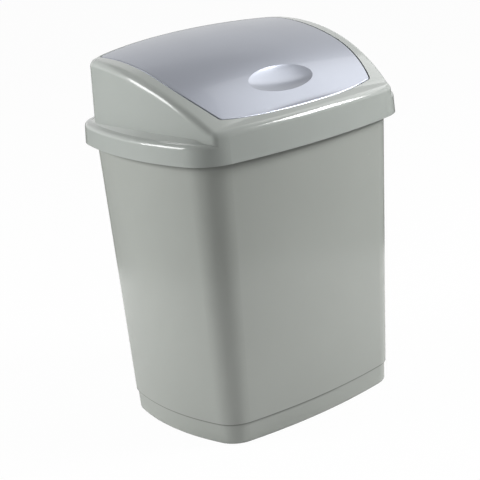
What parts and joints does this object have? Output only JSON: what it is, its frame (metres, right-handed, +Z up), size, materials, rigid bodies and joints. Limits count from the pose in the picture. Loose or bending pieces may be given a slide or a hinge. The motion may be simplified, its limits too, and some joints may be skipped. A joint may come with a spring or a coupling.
{
  "type": "swing-lid trash can",
  "caption": "Tapered floor-standing kitchen bin with a lift-off hood and a crowned push flap that swings inward and falls shut.",
  "frame": {"origin": "on the floor, under the middle of the bin", "axes": "+Z up, the flap's push edge and the front face towards -Y, +X to the right for someone facing the front from -Y"},
  "size_m": [0.347, 0.2726, 0.453],
  "materials": {
    "body_plastic": "satin moulded grey",
    "hood_plastic": "gloss moulded grey",
    "flap_plastic": "silver metallic plastic",
    "pin_plastic": "plain moulded grey"
  },
  "bodies": {
    "bin": {"bin_body": "body_plastic"},
    "hood_assembly": {"hood": "hood_plastic"},
    "flap": {"swing_flap": "flap_plastic", "pivot_pin_left": "pin_plastic", "pivot_pin_right": "pin_plastic"}
  },
  "joints": [
    {"name": "hood_lift", "type": "slide", "parent": "bin", "child": "hood_assembly", "axis": [0, 0, 1], "range_m": [0, 0.12]},
    {"name": "flap_swing", "type": "hinge", "parent": "hood_assembly", "child": "flap", "pos_m": [0, -0.003, 0.4153], "axis": [1, 0, 0], "range_deg": [0, 75]}
  ]
}
